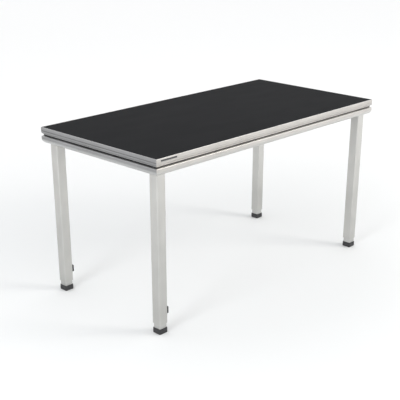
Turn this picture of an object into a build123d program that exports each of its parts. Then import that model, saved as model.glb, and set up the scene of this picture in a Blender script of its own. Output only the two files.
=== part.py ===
from build123d import *
import os

# A rectangular table with a laminate top, a grooved aluminium edge frame and four square legs that fold
# in under the top. Units are millimetres, +Z is up, X runs along the long side and Y along the short one.
# The origin is on the floor under the centre of the top. A piece that repeats at the corners is modelled
# once, at the corner on the +X and +Y side, and mirrored into the others.

# ---- driving dimensions: the whole table ----
LENGTH = 1400.0
WIDTH = 700.0
HEIGHT = 740.0
LEG_INSET = 47.0            # outer face of the frame to a leg's centre line

# ---- edge rails ----
RAIL_THICKNESS = 20.0
RAIL_DEPTH = 67.0
RIM_WIDTH = 3.0             # aluminium rim that shows round the laminate
RIM_EDGE_RADIUS = 0.8
CORNER_RADIUS = 2.5
MITRE_GAP = 0.1
LIP_HEIGHT = 18.0           # upright face above the groove
LIP_LINE_TOP = 12.5         # fine groove that parts the lip into two bands
LIP_LINE_BOTTOM = 15.3
LIP_LINE_DEPTH = 1.2
LIP_LINE_SLANT = 0.6
GROOVE_DEPTH = 7.0
GROOVE_TOP = 28.5
SLOT_TOP = 31.0
SLOT_BOTTOM = 35.5
SLOT_DEPTH = 14.0
FLANGE_INSET = 1.0          # lower flange, set back from the lip
FLANGE_TOP = 39.5
FLANGE_BOTTOM = 49.0
FLANGE_FOOT = 14.0          # where the curved underside ends
RAIL_WALL = 2.5             # metal round the rail's two chambers
FACE_WALL = 3.0             # metal behind the outer faces
CHAMBER_KNEE = (9.5, 60.5)  # bend in the lower chamber, over the curved underside
SCREW_CLEARANCE = 0.2

# ---- deck ----
DECK_GAP = 0.2
LAMINATE_THICKNESS = 0.8
CORE_THICKNESS = 17.0
DECK_THICKNESS = CORE_THICKNESS + 2 * LAMINATE_THICKNESS

# ---- legs ----
TUBE_SIZE = 44.0
TUBE_WALL = 2.5
TUBE_CORNER = 5.0
TUBE_BOTTOM = 44.0
PIVOT_HEIGHT = 688.0
PIVOT_RADIUS = 5.0
PLUG_DEPTH = 68.0           # how far the knuckle plug reaches down from the pivot
PLUG_FIT = 0.15             # gap between the knuckle plug and the tube
RIVET_RADIUS = 2.4
RIVET_HEAD = 1.4
RIVET_REACH = 10.0
SLEEVE_SIZE = 38.0
SLEEVE_WALL = 2.0
SLEEVE_CORNER = 3.5
SLEEVE_TOP = 128.0
WEDGE_TOP = 165.0
WEDGE_RISE = 30.0           # height difference across the slanted face
CAP_SIZE = 43.5
CAP_CORNER = 5.0
CAP_HEIGHT = 23.5
CAP_WAIST = 11.0            # above this height the cap narrows
CAP_TAPER = 3.2
CAP_FLOOR = 6.0
KEY_HOLE_RADIUS = 8.0
FOOT_PLATE_BOTTOM = 14.0
FOOT_PLATE_TOP = 18.0
FOOT_BOLT_RADIUS = 4.0
FOOT_BOLT_HEAD_RADIUS = 6.5
FOOT_BOLT_SOCKET = 3.4

# ---- fold buffers, on the two legs of the -X end ----
BUFFER_HEIGHT = 95.0
BUFFER_SIZE = (11.0, 34.0, 31.0)
BUFFER_SCREW_PITCH = 16.0
BUFFER_SCREW_RADIUS = 2.0
BUFFER_SEAT = 4.0           # rubber between the screw heads and the leg

# ---- hinge brackets and leg locks ----
PLATE = 4.0
BASE_PLATE = 3.0
SIDE_GAP = 1.0
BRACKET_LENGTH = 80.0
BRACKET_BOTTOM = 674.0
CHEEK_NOSE = 20.0           # height of a cheek at its inward end
CHEEK_TAPER = 32.0
SCREW_RADIUS = 2.45
SCREW_HEAD_RADIUS = 4.8
SCREW_SOCKET = 1.7
SCREW_HEIGHT = 694.5
SCREW_REACH = 14.0
CLEAT_BOTTOM = 688.0
CLEAT_HEIGHT = 13.0
WOOD_SCREW_RADIUS = 1.9
WOOD_SCREW_HEAD_RADIUS = 4.0
WOOD_SCREW_HEAD = 2.4
WOOD_SCREW_BITE = 12.0      # length in the deck
CROSS_SLOT = (4.0, 0.9, 1.5)
BOLT_HEAD = 3.0
WASHER_THICKNESS = 1.5
KNOB_CORE_RADIUS = 13.5
KNOB_LOBE_RADIUS = 5.0
KNOB_THICKNESS = 14.0
KNOB_HUB_RADIUS = 9.0
KNOB_HUB_LENGTH = 8.0
KNOB_END_WALL = 4.5

# ---- blank plate on the front rail ----
NAME_PLATE_SIZE = (84.0, 6.5, 0.4)
NAME_PLATE_CORNER = 1.2
NAME_PLATE_START = 23.0     # from the frame's corner
NAME_PLATE_DROP = 8.75      # from the top to the plate's middle

# ---- derived places, at the corner on the +X and +Y side ----
DECK_UNDERSIDE = HEIGHT - DECK_THICKNESS
RAIL_INNER_X = LENGTH / 2 - RAIL_THICKNESS
RAIL_INNER_Y = WIDTH / 2 - RAIL_THICKNESS
LEG_X = LENGTH / 2 - LEG_INSET
LEG_Y = WIDTH / 2 - LEG_INSET
HALF_TUBE = TUBE_SIZE / 2
BORE_SIZE = TUBE_SIZE - 2 * TUBE_WALL
CHEEK_OUTER_Y = LEG_Y + HALF_TUBE + SIDE_GAP
CHEEK_INNER_Y = LEG_Y - HALF_TUBE - SIDE_GAP
BRACKET_START_X = RAIL_INNER_X - BRACKET_LENGTH
END_WALL_X = RAIL_INNER_X - PLATE
BASE_PLATE_BOTTOM = DECK_UNDERSIDE - BASE_PLATE
KNOB_FACE_Y = CHEEK_INNER_Y - PLATE - WASHER_THICKNESS - 0.2
SIDE_SCREW_X = LEG_X - 29.0
RIVET_SPOTS = [(LEG_Y - 10, PIVOT_HEIGHT - 12), (LEG_Y + 10, PIVOT_HEIGHT - 12)]
DECK_SCREW_SPOTS = [
    (x, y)
    for x in (BRACKET_START_X + 12, RAIL_INNER_X - 12)
    for y in (LEG_Y - 14, LEG_Y + 14)
]

CORNERS = {
    "front_left": (-1, -1),
    "front_right": (1, -1),
    "back_left": (-1, 1),
    "back_right": (1, 1),
}

# Each rail's section plane stands at the rail's start: x points inward, y up and z along the rail.
RAIL_PLANES = {
    "front": (Plane(origin=(-LENGTH / 2, -WIDTH / 2, HEIGHT), x_dir=(0, 1, 0), z_dir=(1, 0, 0)), LENGTH),
    "right": (Plane(origin=(LENGTH / 2, -WIDTH / 2, HEIGHT), x_dir=(-1, 0, 0), z_dir=(0, 1, 0)), WIDTH),
    "back": (Plane(origin=(LENGTH / 2, WIDTH / 2, HEIGHT), x_dir=(0, -1, 0), z_dir=(-1, 0, 0)), LENGTH),
    "left": (Plane(origin=(-LENGTH / 2, WIDTH / 2, HEIGHT), x_dir=(1, 0, 0), z_dir=(0, -1, 0)), WIDTH),
}

os.makedirs("parts", exist_ok=True)


def save(piece, name):
    """Label a finished piece and write it to its own file."""
    piece.label = name
    export_step(piece, f"parts/{name}.step")


def to_corner(piece, side_x, side_y):
    """Mirror a piece made for the +X and +Y corner into another corner."""
    if side_x < 0:
        piece = mirror(piece, about=Plane.YZ)
    if side_y < 0:
        piece = mirror(piece, about=Plane.XZ)
    return piece


def save_at_corners(piece, stem, corners=CORNERS):
    """Write one copy of a corner piece for each corner, with the corner in its name."""
    for corner in corners:
        save(to_corner(piece, *CORNERS[corner]), f"{stem}_{corner}")


def save_group(piece, name):
    """Write one file that holds the same piece at all four corners."""
    with BuildPart() as group:
        for side_x, side_y in CORNERS.values():
            add(to_corner(piece, side_x, side_y))
    save(group.part, name)


# ---- edge frame ----
def mitre_waste(section_plane, length):
    """The two wedges that trim an edge strip's ends to 45 degrees."""
    plan = Plane(origin=section_plane.origin, x_dir=section_plane.z_dir, z_dir=(0, 0, 1))
    over = 5.0
    reach = RAIL_THICKNESS + over
    with BuildPart() as waste:
        with BuildSketch(plan.offset(over)):
            for end, inward in ((0, 1), (length, -1)):
                cut = end + inward * MITRE_GAP
                outside = end - 2 * over * inward
                with BuildLine():
                    Polyline(
                        (cut - over * inward, -over),
                        (cut + reach * inward, reach),
                        (outside, reach),
                        (outside, -over),
                        close=True,
                    )
                make_face()
        extrude(amount=-(RAIL_DEPTH + 2 * over))
    return waste.part


def frame_screw_holes():
    """Clearance holes for the eight screws, through the rails' inner walls only."""
    through = PLATE + 2 * RAIL_WALL
    with BuildPart() as holes:
        for side_x, side_y in CORNERS.values():
            with BuildSketch(Plane.XZ.offset(-side_y * CHEEK_OUTER_Y)):
                with Locations((side_x * SIDE_SCREW_X, SCREW_HEIGHT)):
                    Circle(SCREW_RADIUS + SCREW_CLEARANCE)
            extrude(amount=-side_y * through)
            with BuildSketch(Plane.YZ.offset(side_x * END_WALL_X)):
                with Locations((side_y * LEG_Y, SCREW_HEIGHT)):
                    Circle(SCREW_RADIUS + SCREW_CLEARANCE)
            extrude(amount=side_x * through)
    return holes.part


def make_rail(name, section_plane, length, holes, plate_pocket):
    """Extruded edge rail: a lip in two bands, groove with its slot, and a flange with a curved underside."""
    inner = RAIL_THICKNESS - RAIL_WALL
    flange_shoulder = (FLANGE_INSET + 1.0, -FLANGE_TOP + 1.5)
    upper_chamber = (
        (GROOVE_DEPTH - 1.0, DECK_THICKNESS + FACE_WALL),
        (inner, DECK_THICKNESS + FACE_WALL),
        (inner, SLOT_TOP - RAIL_WALL),
        (GROOVE_DEPTH + FACE_WALL, SLOT_TOP - RAIL_WALL),
    )
    lower_chamber = (
        (GROOVE_DEPTH - 0.5, SLOT_BOTTOM + FACE_WALL),
        (inner, SLOT_BOTTOM + FACE_WALL),
        (inner, RAIL_DEPTH - RAIL_WALL),
        (FLANGE_FOOT + 1.0, RAIL_DEPTH - RAIL_WALL),
        CHAMBER_KNEE,
        (FLANGE_INSET + FACE_WALL, FLANGE_BOTTOM + 1.0),
        (FLANGE_INSET + FACE_WALL, FLANGE_TOP + 1.0),
    )
    with BuildPart() as rail:
        with BuildSketch(section_plane):
            with BuildLine():
                Line((RIM_WIDTH, 0), (RIM_EDGE_RADIUS, 0))
                TangentArc((RIM_EDGE_RADIUS, 0), (0, -RIM_EDGE_RADIUS), tangent=(-1, 0))
                Polyline(
                    (0, -RIM_EDGE_RADIUS),
                    (0, -LIP_LINE_TOP),
                    (LIP_LINE_DEPTH, -LIP_LINE_TOP - LIP_LINE_SLANT),
                    (LIP_LINE_DEPTH, -LIP_LINE_BOTTOM + LIP_LINE_SLANT),
                    (0, -LIP_LINE_BOTTOM),
                    (0, -LIP_HEIGHT),
                )
                TangentArc((0, -LIP_HEIGHT), (GROOVE_DEPTH, -GROOVE_TOP), tangent=(0, -1))
                Polyline(
                    (GROOVE_DEPTH, -GROOVE_TOP),
                    (GROOVE_DEPTH, -SLOT_TOP),
                    (SLOT_DEPTH, -SLOT_TOP),
                    (SLOT_DEPTH, -SLOT_BOTTOM),
                    (GROOVE_DEPTH, -SLOT_BOTTOM),
                    flange_shoulder,
                )
                TangentArc(flange_shoulder, (FLANGE_INSET, -FLANGE_TOP), tangent=(-1, -0.53))
                Line((FLANGE_INSET, -FLANGE_TOP), (FLANGE_INSET, -FLANGE_BOTTOM))
                TangentArc((FLANGE_INSET, -FLANGE_BOTTOM), (FLANGE_FOOT, -RAIL_DEPTH), tangent=(0, -1))
                Polyline(
                    (FLANGE_FOOT, -RAIL_DEPTH),
                    (RAIL_THICKNESS, -RAIL_DEPTH),
                    (RAIL_THICKNESS, -DECK_THICKNESS),
                    (RIM_WIDTH, -DECK_THICKNESS),
                    (RIM_WIDTH, 0),
                )
            make_face()
            for outline in (upper_chamber, lower_chamber):
                with BuildLine():
                    Polyline(*[(depth, -drop) for depth, drop in outline], close=True)
                make_face(mode=Mode.SUBTRACT)
        extrude(amount=length)
        add(mitre_waste(section_plane, length), mode=Mode.SUBTRACT)
        with BuildSketch(Plane.XY.offset(HEIGHT)):
            RectangleRounded(LENGTH, WIDTH, CORNER_RADIUS)
        extrude(amount=-RAIL_DEPTH, mode=Mode.INTERSECT)
        add(holes, mode=Mode.SUBTRACT)
        if plate_pocket is not None:
            add(plate_pocket, mode=Mode.SUBTRACT)
    save(rail.part, f"rail_{name}")


def make_groove_strip(name, section_plane, length):
    """Black strip pressed into the slot at the bottom of the groove, with a slightly domed front."""
    gap = 0.1
    dome = 0.8
    front = GROOVE_DEPTH + 1.7
    back = SLOT_DEPTH - gap
    top = SLOT_TOP + gap
    bottom = SLOT_BOTTOM - gap
    with BuildPart() as strip:
        with BuildSketch(section_plane):
            with BuildLine():
                Polyline((front, -bottom), (back, -bottom), (back, -top), (front, -top))
                ThreePointArc((front, -top), (front - dome, -(top + bottom) / 2), (front, -bottom))
            make_face()
        extrude(amount=length)
        add(mitre_waste(section_plane, length), mode=Mode.SUBTRACT)
    save(strip.part, f"groove_strip_{name}")


def make_name_plate(name, clearance):
    """Blank plate let into the front rail's lip; with clearance, the pocket that it sits in."""
    plate_length, plate_height, plate_depth = NAME_PLATE_SIZE
    middle_x = -LENGTH / 2 + NAME_PLATE_START + plate_length / 2
    with BuildPart() as plate:
        with BuildSketch(Plane.XZ.offset(WIDTH / 2)):
            with Locations((middle_x, HEIGHT - NAME_PLATE_DROP)):
                RectangleRounded(
                    plate_length + 2 * clearance,
                    plate_height + 2 * clearance,
                    NAME_PLATE_CORNER,
                )
        extrude(amount=-plate_depth)
    if name is not None:
        save(plate.part, name)
    return plate.part


def make_corner_cleat():
    """L-shaped cleat that joins two rails inside their lower chambers."""
    near = 6.0
    far = RAIL_THICKNESS - RAIL_WALL - 0.3
    arm = 85.0
    corner_chamfer = 4.0
    with BuildPart() as cleat:
        with BuildSketch(Plane.XY.offset(CLEAT_BOTTOM)):
            with BuildLine():
                Polyline(
                    (LENGTH / 2 - near, WIDTH / 2 - near),
                    (LENGTH / 2 - arm, WIDTH / 2 - near),
                    (LENGTH / 2 - arm, WIDTH / 2 - far),
                    (LENGTH / 2 - far, WIDTH / 2 - far),
                    (LENGTH / 2 - far, WIDTH / 2 - arm),
                    (LENGTH / 2 - near, WIDTH / 2 - arm),
                    close=True,
                )
            make_face()
        extrude(amount=CLEAT_HEIGHT)
        chamfer(cleat.edges().filter_by(Axis.Z).sort_by(SortBy.DISTANCE)[-1], corner_chamfer)
        with BuildSketch(Plane.XZ.offset(-(WIDTH / 2 - far - 1))):
            with Locations((SIDE_SCREW_X, SCREW_HEIGHT)):
                Circle(SCREW_RADIUS + 0.05)
        extrude(amount=-(far - near + 2), mode=Mode.SUBTRACT)
        with BuildSketch(Plane.YZ.offset(LENGTH / 2 - far - 1)):
            with Locations((LEG_Y, SCREW_HEIGHT)):
                Circle(SCREW_RADIUS + 0.05)
        extrude(amount=far - near + 2, mode=Mode.SUBTRACT)
    save_at_corners(cleat.part, "corner_cleat")


# ---- deck ----
def make_deck_sheet(name, bottom, thickness, screw_depth):
    """One layer of the deck, with pilot holes for the bracket screws up to the given depth."""
    with BuildPart() as sheet:
        with BuildSketch(Plane.XY.offset(bottom)):
            RectangleRounded(
                LENGTH - 2 * (RIM_WIDTH + DECK_GAP),
                WIDTH - 2 * (RIM_WIDTH + DECK_GAP),
                1.0,
            )
        extrude(amount=thickness)
        if screw_depth > 0:
            with BuildSketch(Plane.XY.offset(bottom)):
                for side_x, side_y in CORNERS.values():
                    with Locations(*[(side_x * x, side_y * y) for x, y in DECK_SCREW_SPOTS]):
                        Circle(WOOD_SCREW_RADIUS + 0.1)
            extrude(amount=screw_depth, mode=Mode.SUBTRACT)
    save(sheet.part, name)


# ---- hinge brackets ----
def make_hinge_bracket():
    """Bracket under the deck: base plate, end wall that stops the leg upright, and two pivot cheeks."""
    cheek_span = RAIL_INNER_Y - CHEEK_INNER_Y + PLATE
    with BuildPart() as bracket:
        with BuildSketch(Plane.XY.offset(BASE_PLATE_BOTTOM)):
            with Locations((RAIL_INNER_X, RAIL_INNER_Y)):
                Rectangle(BRACKET_LENGTH, cheek_span, align=(Align.MAX, Align.MAX))
        extrude(amount=BASE_PLATE)
        with BuildSketch(Plane.YZ.offset(END_WALL_X)):
            with Locations((RAIL_INNER_Y, DECK_UNDERSIDE)):
                Rectangle(cheek_span, DECK_UNDERSIDE - BRACKET_BOTTOM, align=(Align.MAX, Align.MAX))
        extrude(amount=PLATE)
        for cheek_y in (CHEEK_OUTER_Y, CHEEK_INNER_Y - PLATE):
            with BuildSketch(Plane.XZ.offset(-cheek_y)):
                with BuildLine():
                    Polyline(
                        (RAIL_INNER_X, DECK_UNDERSIDE),
                        (BRACKET_START_X, DECK_UNDERSIDE),
                        (BRACKET_START_X, DECK_UNDERSIDE - CHEEK_NOSE),
                        (BRACKET_START_X + CHEEK_TAPER, BRACKET_BOTTOM),
                        (RAIL_INNER_X, BRACKET_BOTTOM),
                        close=True,
                    )
                make_face()
            extrude(amount=-PLATE)
        with BuildSketch(Plane.XZ.offset(-(CHEEK_INNER_Y - PLATE - 1))):
            with Locations((LEG_X, PIVOT_HEIGHT)):
                Circle(PIVOT_RADIUS + 0.05)
        extrude(amount=-(cheek_span + 2), mode=Mode.SUBTRACT)
        with Locations(Plane(origin=(LEG_X, RAIL_INNER_Y, PIVOT_HEIGHT), x_dir=(1, 0, 0), z_dir=(0, 1, 0))):
            CounterSinkHole(
                PIVOT_RADIUS + 0.05,
                PIVOT_RADIUS + BOLT_HEAD + 0.1,
                depth=PLATE,
                counter_sink_angle=90,
            )
        with Locations(
            Plane(origin=(SIDE_SCREW_X, CHEEK_OUTER_Y, SCREW_HEIGHT), x_dir=(1, 0, 0), z_dir=(0, -1, 0)),
            Plane(origin=(END_WALL_X, LEG_Y, SCREW_HEIGHT), x_dir=(0, 1, 0), z_dir=(-1, 0, 0)),
        ):
            CounterSinkHole(
                SCREW_RADIUS + SCREW_CLEARANCE,
                SCREW_HEAD_RADIUS + SCREW_CLEARANCE,
                depth=PLATE,
                counter_sink_angle=90,
            )
        with BuildSketch(Plane.XY.offset(BASE_PLATE_BOTTOM)):
            with Locations(*DECK_SCREW_SPOTS):
                Circle(WOOD_SCREW_RADIUS + 0.3)
        extrude(amount=BASE_PLATE, mode=Mode.SUBTRACT)
    save_at_corners(bracket.part, "hinge_bracket")


def make_frame_screws():
    """Countersunk screws, one through each bracket cheek and one through each end wall."""
    with BuildPart() as screws:
        for seat in (
            Plane(origin=(SIDE_SCREW_X, CHEEK_OUTER_Y, SCREW_HEIGHT), x_dir=(1, 0, 0), z_dir=(0, 1, 0)),
            Plane(origin=(END_WALL_X, LEG_Y, SCREW_HEIGHT), x_dir=(0, 1, 0), z_dir=(1, 0, 0)),
        ):
            head_depth = SCREW_HEAD_RADIUS - SCREW_RADIUS
            with BuildSketch(seat):
                Circle(SCREW_HEAD_RADIUS)
            extrude(amount=head_depth, taper=45)
            with BuildSketch(seat.offset(head_depth)):
                Circle(SCREW_RADIUS)
            extrude(amount=SCREW_REACH - head_depth)
            with BuildSketch(seat):
                RegularPolygon(SCREW_SOCKET, 6)
            extrude(amount=2.0, mode=Mode.SUBTRACT)
    save_group(screws.part, "frame_screws")


def make_deck_screws():
    """Wood screws through the brackets' base plates into the deck."""
    slot_length, slot_width, slot_depth = CROSS_SLOT
    with BuildPart() as screws:
        with BuildSketch(Plane.XY.offset(BASE_PLATE_BOTTOM)):
            with Locations(*DECK_SCREW_SPOTS):
                Circle(WOOD_SCREW_HEAD_RADIUS)
        extrude(amount=-WOOD_SCREW_HEAD, taper=18)
        with BuildSketch(Plane.XY.offset(BASE_PLATE_BOTTOM)):
            with Locations(*DECK_SCREW_SPOTS):
                Circle(WOOD_SCREW_RADIUS)
        extrude(amount=BASE_PLATE + WOOD_SCREW_BITE)
        with BuildSketch(Plane.XY.offset(BASE_PLATE_BOTTOM - WOOD_SCREW_HEAD)):
            with Locations(*DECK_SCREW_SPOTS):
                Rectangle(slot_length, slot_width)
                Rectangle(slot_width, slot_length)
        extrude(amount=slot_depth, mode=Mode.SUBTRACT)
    save_group(screws.part, "deck_screws")


# ---- pivots and locks ----
def make_pivot_bolts():
    """Countersunk pivot bolts, from the outer cheek through the leg to the clamp knob."""
    bolt_end = KNOB_FACE_Y - KNOB_HUB_LENGTH - KNOB_THICKNESS + KNOB_END_WALL + 0.5
    with BuildPart() as bolt:
        with BuildSketch(Plane.XZ.offset(-RAIL_INNER_Y)):
            with Locations((LEG_X, PIVOT_HEIGHT)):
                Circle(PIVOT_RADIUS + BOLT_HEAD)
        extrude(amount=BOLT_HEAD, taper=45)
        with BuildSketch(Plane.XZ.offset(-RAIL_INNER_Y)):
            with Locations((LEG_X, PIVOT_HEIGHT)):
                Circle(PIVOT_RADIUS)
        extrude(amount=RAIL_INNER_Y - bolt_end)
        chamfer(bolt.faces().sort_by(Axis.Y)[0].edges(), 0.8)
    save_group(bolt.part, "pivot_bolts")


def make_pivot_washers():
    """Washers between the inner cheeks and the clamp knobs."""
    with BuildPart() as washer:
        with BuildSketch(Plane.XZ.offset(-(CHEEK_INNER_Y - PLATE))):
            with Locations((LEG_X, PIVOT_HEIGHT)):
                Circle(PIVOT_RADIUS * 2)
                Circle(PIVOT_RADIUS + 0.2, mode=Mode.SUBTRACT)
        extrude(amount=WASHER_THICKNESS)
    save_group(washer.part, "pivot_washers")


def make_clamp_knob():
    """Star knob that runs on the pivot bolt and squeezes the bracket's cheeks on to the leg."""
    lobes = 6
    with BuildPart() as knob:
        with BuildSketch(Plane.XZ.offset(-KNOB_FACE_Y)):
            with Locations((LEG_X, PIVOT_HEIGHT)):
                Circle(KNOB_HUB_RADIUS)
        extrude(amount=KNOB_HUB_LENGTH)
        with BuildSketch(Plane.XZ.offset(-(KNOB_FACE_Y - KNOB_HUB_LENGTH))):
            with Locations((LEG_X, PIVOT_HEIGHT)):
                Circle(KNOB_CORE_RADIUS)
                with PolarLocations(KNOB_CORE_RADIUS - 1, lobes):
                    Circle(KNOB_LOBE_RADIUS)
        extrude(amount=KNOB_THICKNESS)
        fillet(knob.faces().sort_by(Axis.Y)[0].edges(), 1.5)
        with BuildSketch(Plane.XZ.offset(-KNOB_FACE_Y)):
            with Locations((LEG_X, PIVOT_HEIGHT)):
                Circle(PIVOT_RADIUS + 0.05)
        extrude(amount=KNOB_HUB_LENGTH + KNOB_THICKNESS - KNOB_END_WALL, mode=Mode.SUBTRACT)
    save_at_corners(knob.part, "clamp_knob")


# ---- legs ----
def make_leg_tube(buffer_screws):
    """Square leg tube: its top is cut to a half round about the pivot."""
    with BuildPart() as tube:
        with BuildSketch(Plane.XY.offset(TUBE_BOTTOM)):
            with Locations((LEG_X, LEG_Y)):
                RectangleRounded(TUBE_SIZE, TUBE_SIZE, TUBE_CORNER)
                RectangleRounded(BORE_SIZE, BORE_SIZE, TUBE_CORNER - TUBE_WALL, mode=Mode.SUBTRACT)
        extrude(amount=PIVOT_HEIGHT + HALF_TUBE - TUBE_BOTTOM)
        with BuildSketch(Plane.XZ.offset(-LEG_Y)):
            with Locations((LEG_X, PIVOT_HEIGHT)):
                Circle(HALF_TUBE)
                Rectangle(TUBE_SIZE, PIVOT_HEIGHT, align=(Align.CENTER, Align.MAX))
        extrude(amount=HALF_TUBE, both=True, mode=Mode.INTERSECT)
        with BuildSketch(Plane.XZ.offset(-LEG_Y)):
            with Locations((LEG_X, PIVOT_HEIGHT)):
                Circle(PIVOT_RADIUS + 0.1)
        extrude(amount=HALF_TUBE, both=True, mode=Mode.SUBTRACT)
        with BuildSketch(Plane.YZ.offset(LEG_X - HALF_TUBE - 1)):
            with Locations(*RIVET_SPOTS):
                Circle(RIVET_RADIUS + 0.05)
        extrude(amount=TUBE_WALL + 2, mode=Mode.SUBTRACT)
        if buffer_screws:
            with BuildSketch(Plane.YZ.offset(LEG_X - HALF_TUBE - 1)):
                with Locations((LEG_Y, BUFFER_HEIGHT)):
                    with GridLocations(0, BUFFER_SCREW_PITCH, 1, 2):
                        Circle(BUFFER_SCREW_RADIUS + 0.05)
            extrude(amount=TUBE_WALL + 2, mode=Mode.SUBTRACT)
    return tube.part


def make_leg_head():
    """Knuckle plug that fills the top of the leg tube and turns on the pivot bolt."""
    side = BORE_SIZE - 2 * PLUG_FIT
    with BuildPart() as head:
        with BuildSketch(Plane.XY.offset(PIVOT_HEIGHT - PLUG_DEPTH)):
            with Locations((LEG_X, LEG_Y)):
                RectangleRounded(side, side, TUBE_CORNER - TUBE_WALL)
        extrude(amount=PLUG_DEPTH + HALF_TUBE)
        with BuildSketch(Plane.XZ.offset(-LEG_Y)):
            with Locations((LEG_X, PIVOT_HEIGHT)):
                Circle(HALF_TUBE - PLUG_FIT)
                Rectangle(TUBE_SIZE, PIVOT_HEIGHT, align=(Align.CENTER, Align.MAX))
        extrude(amount=HALF_TUBE, both=True, mode=Mode.INTERSECT)
        with BuildSketch(Plane.XZ.offset(-LEG_Y)):
            with Locations((LEG_X, PIVOT_HEIGHT)):
                Circle(PIVOT_RADIUS + 0.05)
        extrude(amount=HALF_TUBE, both=True, mode=Mode.SUBTRACT)
        with BuildSketch(Plane.YZ.offset(LEG_X - HALF_TUBE)):
            with Locations(*RIVET_SPOTS):
                Circle(RIVET_RADIUS + 0.05)
        extrude(amount=RIVET_REACH + 2, mode=Mode.SUBTRACT)
    save_at_corners(head.part, "leg_head")


def make_leg_head_rivets():
    """Two dome-head rivets that hold the knuckle plug, on the leg's inward face."""
    with BuildPart() as rivets:
        with BuildSketch(Plane.YZ.offset(LEG_X - HALF_TUBE)):
            with Locations(*RIVET_SPOTS):
                Circle(RIVET_RADIUS * 2)
        extrude(amount=-RIVET_HEAD, taper=30)
        with BuildSketch(Plane.YZ.offset(LEG_X - HALF_TUBE)):
            with Locations(*RIVET_SPOTS):
                Circle(RIVET_RADIUS)
        extrude(amount=RIVET_REACH)
    save_at_corners(rivets.part, "leg_head_rivets")


def slanted_cut(gap):
    """Block above the slanted plane on which the wedge slides against the sleeve."""
    half = SLEEVE_SIZE / 2 + 1
    slope = WEDGE_RISE / SLEEVE_SIZE
    with BuildPart() as block:
        with BuildSketch(Plane.XZ.offset(-LEG_Y)):
            with BuildLine():
                Polyline(
                    (LEG_X - half, SLEEVE_TOP - half * slope + gap),
                    (LEG_X + half, SLEEVE_TOP + half * slope + gap),
                    (LEG_X + half, WEDGE_TOP + 5),
                    (LEG_X - half, WEDGE_TOP + 5),
                    close=True,
                )
            make_face()
        extrude(amount=half, both=True)
    return block.part


def make_foot_sleeve():
    """Square sleeve that slides in the leg, with a welded plate for the clamp bolt."""
    bore = SLEEVE_SIZE - 2 * SLEEVE_WALL
    with BuildPart() as sleeve:
        with BuildSketch(Plane.XY.offset(CAP_FLOOR)):
            with Locations((LEG_X, LEG_Y)):
                RectangleRounded(SLEEVE_SIZE, SLEEVE_SIZE, SLEEVE_CORNER)
        extrude(amount=SLEEVE_TOP + WEDGE_RISE - CAP_FLOOR)
        for bottom, top in ((CAP_FLOOR, FOOT_PLATE_BOTTOM), (FOOT_PLATE_TOP, SLEEVE_TOP + WEDGE_RISE)):
            with BuildSketch(Plane.XY.offset(bottom)):
                with Locations((LEG_X, LEG_Y)):
                    RectangleRounded(bore, bore, SLEEVE_CORNER - SLEEVE_WALL)
            extrude(amount=top - bottom, mode=Mode.SUBTRACT)
        add(slanted_cut(0), mode=Mode.SUBTRACT)
        with BuildSketch(Plane.XY.offset(FOOT_PLATE_BOTTOM)):
            with Locations((LEG_X, LEG_Y)):
                Circle(FOOT_BOLT_RADIUS + 0.2)
        extrude(amount=FOOT_PLATE_TOP - FOOT_PLATE_BOTTOM, mode=Mode.SUBTRACT)
    save_at_corners(sleeve.part, "foot_sleeve")


def make_foot_wedge():
    """Wedge nut that the bolt pulls down the sleeve's slant, to jam the sleeve in the leg."""
    with BuildPart() as wedge:
        with BuildSketch(Plane.XY.offset(SLEEVE_TOP - WEDGE_RISE / 2)):
            with Locations((LEG_X, LEG_Y)):
                RectangleRounded(SLEEVE_SIZE, SLEEVE_SIZE, SLEEVE_CORNER)
                Circle(FOOT_BOLT_RADIUS + 0.05, mode=Mode.SUBTRACT)
        extrude(amount=WEDGE_TOP - SLEEVE_TOP + WEDGE_RISE / 2)
        add(slanted_cut(0.1), mode=Mode.INTERSECT)
        fillet(wedge.faces().sort_by(Axis.Z)[-1].outer_wire().edges(), 1.0)
    save_at_corners(wedge.part, "foot_wedge")


def make_foot_bolt():
    """Socket-head bolt that pulls the wedge down, reached through the cap from below."""
    head_bottom = CAP_FLOOR + 0.5
    with BuildPart() as bolt:
        with BuildSketch(Plane.XY.offset(head_bottom)):
            with Locations((LEG_X, LEG_Y)):
                Circle(FOOT_BOLT_HEAD_RADIUS)
        extrude(amount=FOOT_PLATE_BOTTOM - head_bottom)
        chamfer(bolt.faces().sort_by(Axis.Z)[0].edges(), 0.6)
        with BuildSketch(Plane.XY.offset(FOOT_PLATE_BOTTOM)):
            with Locations((LEG_X, LEG_Y)):
                Circle(FOOT_BOLT_RADIUS)
        extrude(amount=WEDGE_TOP - 5 - FOOT_PLATE_BOTTOM)
        with BuildSketch(Plane.XY.offset(head_bottom)):
            with Locations((LEG_X, LEG_Y)):
                RegularPolygon(FOOT_BOLT_SOCKET, 6)
        extrude(amount=4.5, mode=Mode.SUBTRACT)
    save_at_corners(bolt.part, "foot_bolt")


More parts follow.
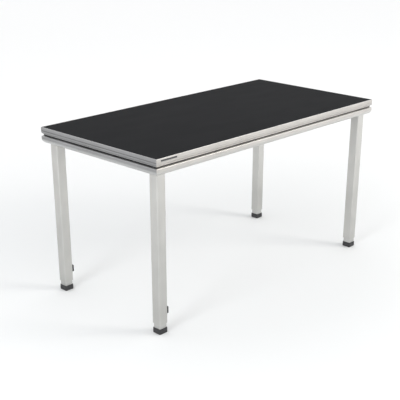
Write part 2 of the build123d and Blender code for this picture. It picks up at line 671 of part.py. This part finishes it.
def make_foot_cap():
    """Rubber cap on the sleeve's end: rounded at the floor, narrower above, with a hole for the hex key."""
    pocket = SLEEVE_SIZE + 0.1
    with BuildPart() as cap:
        with BuildSketch(Plane.XY):
            with Locations((LEG_X, LEG_Y)):
                RectangleRounded(CAP_SIZE, CAP_SIZE, CAP_CORNER)
        extrude(amount=CAP_WAIST)
        fillet(cap.faces().sort_by(Axis.Z)[0].edges(), 3.0)
        with BuildSketch(Plane.XY.offset(CAP_WAIST)):
            with Locations((LEG_X, LEG_Y)):
                RectangleRounded(CAP_SIZE, CAP_SIZE, CAP_CORNER)
        extrude(amount=CAP_HEIGHT - CAP_WAIST, taper=CAP_TAPER)
        fillet(cap.faces().sort_by(Axis.Z)[-1].edges(), 0.8)
        with BuildSketch(Plane.XY.offset(CAP_FLOOR)):
            with Locations((LEG_X, LEG_Y)):
                RectangleRounded(pocket, pocket, SLEEVE_CORNER)
        extrude(amount=CAP_HEIGHT - CAP_FLOOR, mode=Mode.SUBTRACT)
        with BuildSketch(Plane.XY):
            with Locations((LEG_X, LEG_Y)):
                Circle(KEY_HOLE_RADIUS)
        extrude(amount=CAP_FLOOR, mode=Mode.SUBTRACT)
    save_at_corners(cap.part, "foot_cap")


# ---- fold buffers ----
LEFT_CORNERS = ("front_left", "back_left")


def make_fold_buffer():
    """Rubber buffer on a leg's inward face, which meets the deck when the leg is folded."""
    depth, width, height = BUFFER_SIZE
    face = Plane.YZ.offset(LEG_X - HALF_TUBE)
    with BuildPart() as buffer:
        with BuildSketch(face):
            with Locations((LEG_Y, BUFFER_HEIGHT)):
                RectangleRounded(width, height, 4)
        extrude(amount=-depth)
        fillet(buffer.faces().sort_by(Axis.X)[0].edges(), 2)
        with BuildSketch(face):
            with Locations((LEG_Y, BUFFER_HEIGHT)):
                with GridLocations(0, BUFFER_SCREW_PITCH, 1, 2):
                    Circle(BUFFER_SCREW_RADIUS + 0.1)
        extrude(amount=-depth, mode=Mode.SUBTRACT)
        with BuildSketch(face.offset(-BUFFER_SEAT)):
            with Locations((LEG_Y, BUFFER_HEIGHT)):
                with GridLocations(0, BUFFER_SCREW_PITCH, 1, 2):
                    Circle(2 * BUFFER_SCREW_RADIUS)
        extrude(amount=-depth, mode=Mode.SUBTRACT)
    save_at_corners(buffer.part, "fold_buffer", LEFT_CORNERS)


def make_buffer_screws():
    """Screws that hold a fold buffer, sunk below its face."""
    face = Plane.YZ.offset(LEG_X - HALF_TUBE)
    with BuildPart() as screws:
        with BuildSketch(face.offset(-BUFFER_SEAT)):
            with Locations((LEG_Y, BUFFER_HEIGHT)):
                with GridLocations(0, BUFFER_SCREW_PITCH, 1, 2):
                    Circle(1.8 * BUFFER_SCREW_RADIUS)
        extrude(amount=-2.4)
        fillet(screws.faces().sort_by(Axis.X)[:2].edges(), 0.8)
        with BuildSketch(face.offset(-BUFFER_SEAT)):
            with Locations((LEG_Y, BUFFER_HEIGHT)):
                with GridLocations(0, BUFFER_SCREW_PITCH, 1, 2):
                    Circle(BUFFER_SCREW_RADIUS)
        extrude(amount=BUFFER_SEAT + TUBE_WALL)
    save_at_corners(screws.part, "buffer_screws", LEFT_CORNERS)


# ---- build everything ----
screw_holes = frame_screw_holes()
name_plate_pocket = make_name_plate(None, 0.1)
for rail_name, (rail_plane, rail_length) in RAIL_PLANES.items():
    pocket = name_plate_pocket if rail_name == "front" else None
    make_rail(rail_name, rail_plane, rail_length, screw_holes, pocket)
    make_groove_strip(rail_name, rail_plane, rail_length)
make_name_plate("name_plate", 0)
make_corner_cleat()

make_deck_sheet("deck_laminate", HEIGHT - LAMINATE_THICKNESS, LAMINATE_THICKNESS, 0)
make_deck_sheet("deck_core", DECK_UNDERSIDE + LAMINATE_THICKNESS, CORE_THICKNESS, WOOD_SCREW_BITE - 0.5)
make_deck_sheet("deck_backer", DECK_UNDERSIDE, LAMINATE_THICKNESS, LAMINATE_THICKNESS)

make_hinge_bracket()
make_frame_screws()
make_deck_screws()
make_pivot_bolts()
make_pivot_washers()
make_clamp_knob()

save_at_corners(make_leg_tube(False), "leg_tube", ("front_right", "back_right"))
save_at_corners(make_leg_tube(True), "leg_tube", LEFT_CORNERS)
make_leg_head()
make_leg_head_rivets()
make_foot_sleeve()
make_foot_wedge()
make_foot_bolt()
make_foot_cap()
make_fold_buffer()
make_buffer_screws()
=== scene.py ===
import math
import bpy
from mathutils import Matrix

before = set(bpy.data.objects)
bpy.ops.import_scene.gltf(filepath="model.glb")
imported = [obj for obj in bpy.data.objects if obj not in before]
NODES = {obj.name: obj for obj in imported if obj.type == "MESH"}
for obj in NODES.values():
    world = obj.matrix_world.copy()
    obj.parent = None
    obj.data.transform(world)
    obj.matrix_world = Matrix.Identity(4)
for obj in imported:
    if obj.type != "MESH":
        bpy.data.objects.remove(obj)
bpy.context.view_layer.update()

# The looks of a folding-leg table. Lengths are in metres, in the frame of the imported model: +Z up, X along
# the long side, the origin on the floor under the middle of the top.

# ---- camera: where it stands, where it looks and how long its lens is ----
CAMERA_PLACE = (-2.8045, -2.6025, 1.6427)
CAMERA_HEADING = 46.02      # degrees from +Y towards +X
CAMERA_PITCH = 22.87        # degrees below the horizon
CAMERA_LENS = 78.65
CAMERA_SHIFT_Y = 0.15
SENSOR_WIDTH = 36.0

# ---- heights on the edge frame and the foot ----
# The fine groove's heights also place a band of painted shade on the frame: a darker tone over the groove.
LIP_LINE_TOP = 0.7275       # fine groove between the lip's two bands
LIP_LINE_HEIGHT = 0.0030
LIP_LINE_EDGE = 0.0006      # how softly its tone starts and ends
# Painted reflection: heights over which the frame's curved underside takes a brighter tone, standing for the
# pale floor it reflects.
UNDERSIDE_REFLECTION_FADE = (0.684, 0.692)
DUST_FADE = (0.001, 0.006)

# ---- grain ----
ALONG_X = (0.004, 1.0, 1.0)     # die lines drawn out along one axis
ALONG_Y = (1.0, 0.004, 1.0)
ALONG_Z = (1.0, 1.0, 0.004)
NOISE_MIDDLE = (0.35, 0.65)     # where most of a noise pattern's values lie

# ---- studio ----
FLOOR_SIZE = 60.0
# Painted shadow: the floor's colour is darker round the table, standing in for the table's shade on it.
FLOOR_PAINTED_SHADOW = (0.815, 0.83, 0.838)   # the floor is a shade darker round the table ...
FLOOR_FAR = (0.955, 0.96, 0.965)    # ... and fades to white away from it
SHADOW_FADE_START = 0.7
SHADOW_FADE_END = 3.2
WORLD_COLOUR = (1.0, 1.0, 1.0)
HORIZON_STRENGTH = 2.85     # the surroundings are brightest at the horizon
ZENITH_STRENGTH = 0.05
LIGHT_TARGET = (0.0, 0.0, 0.4)
KEY_LIGHT = {"place": (3.0, -4.2, 2.7), "size": 2.0, "power": 105.0, "colour": (1.0, 0.97, 0.92)}
FILL_LIGHT = {"place": (-4.6, -0.9, 2.3), "size": 1.5, "power": 65.0, "colour": (0.97, 0.985, 1.0)}


# ---- material helpers ----
def new_material(name, roughness=0.5, metallic=0.0, specular=0.5):
    """A material with one Principled shader, and that shader; tint gives it its colour."""
    material = bpy.data.materials.new(name)
    material.use_nodes = True
    shader = material.node_tree.nodes["Principled BSDF"]
    shader.inputs["Roughness"].default_value = roughness
    shader.inputs["Metallic"].default_value = metallic
    shader.inputs["Specular IOR Level"].default_value = specular
    return material, shader


def noise(material, scale, stretch=(1.0, 1.0, 1.0), detail=3.0):
    """The value of a noise pattern placed in the table's frame, with its own scale along each axis."""
    tree = material.node_tree
    place = tree.nodes.new("ShaderNodeTexCoord")
    mapping = tree.nodes.new("ShaderNodeMapping")
    mapping.inputs["Scale"].default_value = [scale * s for s in stretch]
    pattern = tree.nodes.new("ShaderNodeTexNoise")
    pattern.inputs["Scale"].default_value = 1.0
    pattern.inputs["Detail"].default_value = detail
    tree.links.new(place.outputs["Object"], mapping.inputs["Vector"])
    tree.links.new(mapping.outputs["Vector"], pattern.inputs["Vector"])
    return pattern.outputs["Fac"]


def cells(material, scale):
    """The distance to the nearest point of a cell pattern, for pebbled surfaces."""
    tree = material.node_tree
    place = tree.nodes.new("ShaderNodeTexCoord")
    pattern = tree.nodes.new("ShaderNodeTexVoronoi")
    pattern.inputs["Scale"].default_value = scale
    tree.links.new(place.outputs["Object"], pattern.inputs["Vector"])
    return pattern.outputs["Distance"]


def height_band(material, low, high):
    """0 below the low height and 1 above the high one, smooth between them."""
    tree = material.node_tree
    place = tree.nodes.new("ShaderNodeTexCoord")
    split = tree.nodes.new("ShaderNodeSeparateXYZ")
    tree.links.new(place.outputs["Object"], split.inputs["Vector"])
    return remap(material, split.outputs["Z"], (low, high), (0.0, 1.0))


def distance_band(material, near, far):
    """0 nearer to the origin than the first distance and 1 beyond the second one."""
    tree = material.node_tree
    place = tree.nodes.new("ShaderNodeTexCoord")
    length = tree.nodes.new("ShaderNodeVectorMath")
    length.operation = "LENGTH"
    tree.links.new(place.outputs["Object"], length.inputs[0])
    return remap(material, length.outputs["Value"], (near, far), (0.0, 1.0))


def remap(material, value, source, target):
    """A value carried from one range to another, and held inside it."""
    node = material.node_tree.nodes.new("ShaderNodeMapRange")
    node.inputs["From Min"].default_value = source[0]
    node.inputs["From Max"].default_value = source[1]
    node.inputs["To Min"].default_value = target[0]
    node.inputs["To Max"].default_value = target[1]
    material.node_tree.links.new(value, node.inputs["Value"])
    return node.outputs["Result"]


def combine(material, operation, first, second):
    """Two values, or a value and a number, through one math operation."""
    node = material.node_tree.nodes.new("ShaderNodeMath")
    node.operation = operation
    for socket, value in zip(node.inputs, (first, second)):
        if isinstance(value, (int, float)):
            socket.default_value = value
        else:
            material.node_tree.links.new(value, socket)
    return node.outputs["Value"]


def inverse(material, value):
    """0 where the value is 1, and 1 where it is 0."""
    return combine(material, "SUBTRACT", 1.0, value)


def spread(material, value, band=NOISE_MIDDLE):
    """The band of a noise value stretched over 0 to 1."""
    return remap(material, value, band, (0.0, 1.0))


def share(material, first, second, part):
    """A blend of two values: the given part of the first and the rest of the second."""
    return combine(
        material,
        "ADD",
        combine(material, "MULTIPLY", first, part),
        combine(material, "MULTIPLY", second, 1.0 - part),
    )


def tint(material, shader, value, low, high):
    """Base colour that runs from low to high as value goes from 0 to 1."""
    node = material.node_tree.nodes.new("ShaderNodeMix")
    node.data_type = "RGBA"
    node.inputs["A"].default_value = (*low, 1.0)
    node.inputs["B"].default_value = (*high, 1.0)
    material.node_tree.links.new(value, node.inputs["Factor"])
    material.node_tree.links.new(node.outputs["Result"], shader.inputs["Base Color"])


def overlay(material, shader, mask, colour):
    """One more colour over the base colour, wherever the mask is 1."""
    tree = material.node_tree
    base = shader.inputs["Base Color"]
    node = tree.nodes.new("ShaderNodeMix")
    node.data_type = "RGBA"
    node.inputs["B"].default_value = (*colour, 1.0)
    tree.links.new(base.links[0].from_socket, node.inputs["A"])
    tree.links.new(mask, node.inputs["Factor"])
    tree.links.new(node.outputs["Result"], base)


def vary_roughness(material, shader, value, low, high):
    """Roughness that follows the middle of a noise value."""
    result = remap(material, value, NOISE_MIDDLE, (low, high))
    material.node_tree.links.new(result, shader.inputs["Roughness"])


def relief(material, shader, value, depth, strength):
    """Bump of the given depth in metres."""
    node = material.node_tree.nodes.new("ShaderNodeBump")
    node.inputs["Strength"].default_value = strength
    node.inputs["Distance"].default_value = depth
    material.node_tree.links.new(value, node.inputs["Height"])
    material.node_tree.links.new(node.outputs["Normal"], shader.inputs["Normal"])


# ---- materials ----
def drawn_aluminium(name, stretch, dark, light, roughness):
    """Anodised extrusion: fine die lines along its length, and a faint cloudiness."""
    material, shader = new_material(name, metallic=1.0)
    lines = noise(material, 1100.0, stretch, detail=2.0)
    clouds = noise(material, 9.0, detail=2.0)
    mixed = share(material, lines, clouds, 0.55)
    tint(material, shader, spread(material, mixed), dark, light)
    vary_roughness(material, shader, mixed, roughness - 0.05, roughness + 0.07)
    relief(material, shader, lines, 0.00003, 0.5)
    return material, shader


def frame_aluminium(name, stretch, dark, light, line, underside, roughness=0.32):
    """Edge frame aluminium: painted shade darkens the lip's fine groove, a painted reflection brightens the
    curved underside.
    """
    material, shader = drawn_aluminium(name, stretch, dark, light, roughness)
    # Painted shade: a darker colour laid over the lip's fine groove, standing in for the shadow inside it.
    line_bottom = LIP_LINE_TOP - LIP_LINE_HEIGHT
    groove_shade_top = height_band(material, LIP_LINE_TOP, LIP_LINE_TOP + LIP_LINE_EDGE)
    groove_shade_bottom = height_band(material, line_bottom - LIP_LINE_EDGE, line_bottom)
    overlay(material, shader, combine(material, "SUBTRACT", groove_shade_bottom, groove_shade_top), line)
    # Painted reflection: a brighter colour on the curved underside, standing in for the pale floor reflected
    # there.
    overlay(material, shader, inverse(material, height_band(material, *UNDERSIDE_REFLECTION_FADE)), underside)
    return material


def cast_aluminium():
    """Tumbled casting: a fine grain, with duller patches."""
    material, shader = new_material("cast_aluminium", metallic=1.0)
    grain = noise(material, 900.0, detail=4.0)
    patches = noise(material, 40.0)
    tint(material, shader, spread(material, patches), (0.42, 0.43, 0.44), (0.58, 0.59, 0.60))
    vary_roughness(material, shader, grain, 0.42, 0.62)
    relief(material, shader, grain, 0.00006, 0.6)
    return material


def zinc_steel():
    """Zinc plate: a slight blue and yellow cast over a turned surface."""
    material, shader = new_material("zinc_steel", metallic=1.0)
    cast = noise(material, 160.0, detail=2.0)
    tint(material, shader, spread(material, cast), (0.55, 0.57, 0.62), (0.66, 0.64, 0.58))
    vary_roughness(material, shader, noise(material, 700.0), 0.22, 0.4)
    return material


def black_laminate():
    """Matt black laminate: a fine pebbled press texture, slightly uneven gloss and faint wiping marks."""
    material, shader = new_material("black_laminate", specular=0.02)
    pebbles = cells(material, 850.0)
    wiping = noise(material, 5.0, (1.0, 2.6, 1.0), detail=4.0)
    grain = noise(material, 1500.0, detail=2.0)
    speckle = spread(material, grain, (0.35, 0.7))
    tint(material, shader, speckle, (0.0100, 0.0106, 0.0120), (0.0140, 0.0146, 0.0162))
    vary_roughness(material, shader, wiping, 0.70, 0.73)
    relief(material, shader, pebbles, 0.00004, 0.4)
    return material


def phenolic_backer():
    """Brown film on the underside: wire-mesh print and a low sheen."""
    material, shader = new_material("brown_backer")
    mesh_x = noise(material, 600.0, (1.0, 0.05, 1.0), detail=1.0)
    mesh_y = noise(material, 600.0, (0.05, 1.0, 1.0), detail=1.0)
    mesh = combine(material, "MAXIMUM", mesh_x, mesh_y)
    tint(material, shader, noise(material, 14.0), (0.045, 0.030, 0.020), (0.085, 0.056, 0.037))
    vary_roughness(material, shader, mesh, 0.42, 0.6)
    relief(material, shader, mesh, 0.00008, 0.6)
    return material


def plywood():
    """Birch plies seen on the panel's edge."""
    material, shader = new_material("plywood", roughness=0.7)
    plies = noise(material, 1.0, (6.0, 6.0, 700.0), detail=1.0)
    fibre = noise(material, 300.0, (0.05, 0.05, 1.0))
    mixed = share(material, plies, fibre, 0.6)
    tint(material, shader, spread(material, mixed), (0.36, 0.23, 0.12), (0.66, 0.50, 0.32))
    relief(material, shader, fibre, 0.0001, 0.5)
    return material


def moulded_black(name, low, high, roughness, grain_scale, grain_depth, specular=0.45):
    """Black moulded plastic or rubber with a spark-eroded grain."""
    material, shader = new_material(name, specular=specular)
    grain = noise(material, grain_scale, detail=3.0)
    handling = noise(material, 60.0, detail=3.0)
    tint(material, shader, spread(material, handling, (0.35, 0.7)), low, high)
    vary_roughness(material, shader, handling, roughness - 0.08, roughness + 0.08)
    relief(material, shader, grain, grain_depth, 0.6)
    return material


def black_plastic():
    """Satin nylon of the knobs and leg heads."""
    return moulded_black("black_plastic", (0.016, 0.016, 0.017), (0.028, 0.028, 0.030), 0.5, 1400.0, 0.00005)


def buffer_rubber():
    """Firm, dull rubber of the fold buffers."""
    return moulded_black("buffer_rubber", (0.014, 0.014, 0.015), (0.026, 0.026, 0.027), 0.62, 1000.0, 0.00006)


def foot_rubber():
    """Cap rubber: black, with pale floor dust caught along its lowest few millimetres."""
    material, shader = new_material("black_rubber", specular=0.4)
    dust = spread(material, noise(material, 420.0, detail=4.0), (0.42, 0.62))
    low = inverse(material, height_band(material, *DUST_FADE))
    amount = combine(material, "MULTIPLY", dust, low)
    tint(material, shader, amount, (0.019, 0.019, 0.021), (0.075, 0.073, 0.070))
    vary_roughness(material, shader, noise(material, 90.0), 0.5, 0.68)
    relief(material, shader, noise(material, 1300.0), 0.00005, 0.6)
    return material


def groove_shade_fill(name, low, high):
    """Dull, glossless fill for the groove strips: its dark colour is painted shade, standing in for the
    shadow inside the groove.
    """
    return moulded_black(name, low, high, 0.8, 900.0, 0.00004, specular=0.1)


def blank_plate():
    """Dark printed plate: satin, with a fine brushed direction."""
    material, shader = new_material("blank_plate")
    brushed = noise(material, 900.0, (0.04, 1.0, 1.0), detail=2.0)
    tint(material, shader, brushed, (0.022, 0.022, 0.024), (0.042, 0.042, 0.045))
    vary_roughness(material, shader, brushed, 0.34, 0.5)
    return material


def dress(material, *stems):
    """Give a material to the named nodes; a stem without its corner or side takes in all of them."""
    for name, node in NODES.items():
        if name in stems or any(name.startswith(stem + "_") for stem in stems):
            node.data.materials.clear()
            node.data.materials.append(material)


def dress_frame():
    """The edge frame and its groove strips; the short sides are a darker grey than the long ones, as painted
    shade, and so are their groove strips.
    """
    long_sides = frame_aluminium(
        "anodised_frame_x",
        ALONG_X,
        dark=(0.44, 0.425, 0.405),
        light=(0.50, 0.485, 0.465),
        line=(0.46, 0.445, 0.425),
        underside=(0.60, 0.59, 0.57),
    )
    # Painted shade: the short sides are the same extrusion as the long ones, given a darker grey, a darker
    # groove band and a dimmer underside.
    short_sides = frame_aluminium(
        "anodised_frame_y_painted_shade",
        ALONG_Y,
        dark=(0.26, 0.26, 0.262),
        light=(0.31, 0.31, 0.312),
        line=(0.19, 0.19, 0.192),
        underside=(0.52, 0.52, 0.515),
    )
    dress(long_sides, "rail_front", "rail_back")
    dress(short_sides, "rail_left", "rail_right")
    # Painted light and shade: the long sides' strips are paler, as if lit, and the short sides' near black,
    # as if shaded.
    long_strips = groove_shade_fill("groove_fill_painted_lit_x", (0.045, 0.044, 0.042), (0.060, 0.058, 0.056))
    short_strips = groove_shade_fill("groove_fill_painted_shade_y", (0.003, 0.003, 0.003), (0.006, 0.006, 0.006))
    dress(long_strips, "groove_strip_front", "groove_strip_back")
    dress(short_strips, "groove_strip_left", "groove_strip_right")


def dress_deck():
    """The top's layers, and the blank plate in the front rail."""
    dress(black_laminate(), "deck_laminate")
    dress(phenolic_backer(), "deck_backer")
    dress(plywood(), "deck_core")
    dress(blank_plate(), "name_plate")


def dress_legs():
    """The legs with their feet and fold buffers."""
    tube, _ = drawn_aluminium("anodised_leg", ALONG_Z, (0.44, 0.437, 0.422), (0.50, 0.497, 0.48), 0.42)
    sleeve, _ = drawn_aluminium("anodised_sleeve", ALONG_Z, (0.45, 0.448, 0.435), (0.52, 0.518, 0.505), 0.36)
    dress(tube, "leg_tube")
    dress(sleeve, "foot_sleeve")
    dress(buffer_rubber(), "fold_buffer")
    dress(foot_rubber(), "foot_cap")


def dress_fittings():
    """Knobs, leg heads, castings and fasteners; the heads' stem takes in their rivets, which come after."""
    dress(black_plastic(), "clamp_knob", "leg_head")
    dress(cast_aluminium(), "corner_cleat", "hinge_bracket", "foot_wedge", "leg_head_rivets")
    dress(
        zinc_steel(),
        "frame_screws",
        "deck_screws",
        "pivot_bolts",
        "pivot_washers",
        "foot_bolt",
        "buffer_screws",
    )


# ---- putting up the studio ----
def soft_light(name, place, size, power, colour):
    """Square area light that faces the target point."""
    light = bpy.data.lights.new(name, "AREA")
    light.shape = "SQUARE"
    light.size = size
    light.energy = power
    light.color = colour
    lamp = bpy.data.objects.new(name, light)
    lamp.location = place
    aim = [t - p for p, t in zip(place, LIGHT_TARGET)]
    flat = math.hypot(aim[0], aim[1])
    lamp.rotation_euler = (math.atan2(flat, -aim[2]), 0.0, math.atan2(-aim[0], aim[1]))
    bpy.context.scene.collection.objects.link(lamp)


def make_floor():
    """Pale floor, far larger than the view, with a painted shadow: darker round the table and paler away from
    it.
    """
    half = FLOOR_SIZE / 2
    mesh = bpy.data.meshes.new("floor")
    corners = [(-half, -half, 0), (half, -half, 0), (half, half, 0), (-half, half, 0)]
    mesh.from_pydata(corners, [], [(0, 1, 2, 3)])
    floor = bpy.data.objects.new("floor", mesh)
    bpy.context.scene.collection.objects.link(floor)
    material, shader = new_material("floor", roughness=0.85, specular=0.2)
    # Painted shadow round the table, fading out between the two distances.
    tint(material, shader, distance_band(material, SHADOW_FADE_START, SHADOW_FADE_END), FLOOR_PAINTED_SHADOW, FLOOR_FAR)
    mesh.materials.append(material)


def make_world():
    """White surroundings, bright round the sides and dim overhead: the floor stays light under the table."""
    world = bpy.data.worlds.new("studio")
    world.use_nodes = True
    tree = world.node_tree
    background = tree.nodes["Background"]
    background.inputs["Color"].default_value = (*WORLD_COLOUR, 1.0)
    place = tree.nodes.new("ShaderNodeTexCoord")
    split = tree.nodes.new("ShaderNodeSeparateXYZ")
    fade = tree.nodes.new("ShaderNodeMapRange")
    fade.inputs["To Min"].default_value = HORIZON_STRENGTH
    fade.inputs["To Max"].default_value = ZENITH_STRENGTH
    tree.links.new(place.outputs["Generated"], split.inputs["Vector"])
    tree.links.new(split.outputs["Z"], fade.inputs["Value"])
    tree.links.new(fade.outputs["Result"], background.inputs["Strength"])
    bpy.context.scene.world = world


def make_camera():
    """Camera at the viewing angle, with the lens shifted down a little to frame the table."""
    data = bpy.data.cameras.new("camera")
    data.lens = CAMERA_LENS
    data.sensor_width = SENSOR_WIDTH
    data.shift_y = CAMERA_SHIFT_Y
    camera = bpy.data.objects.new("camera", data)
    camera.location = CAMERA_PLACE
    camera.rotation_euler = (math.radians(90.0 - CAMERA_PITCH), 0.0, math.radians(-CAMERA_HEADING))
    bpy.context.scene.collection.objects.link(camera)
    bpy.context.scene.camera = camera


def make_studio():
    """Floor, surroundings, camera and two soft lights."""
    make_floor()
    make_world()
    make_camera()
    soft_light("key_right", **KEY_LIGHT)
    soft_light("fill_left", **FILL_LIGHT)
    bpy.context.scene.view_settings.view_transform = "Standard"


dress_frame()
dress_deck()
dress_legs()
dress_fittings()
make_studio()
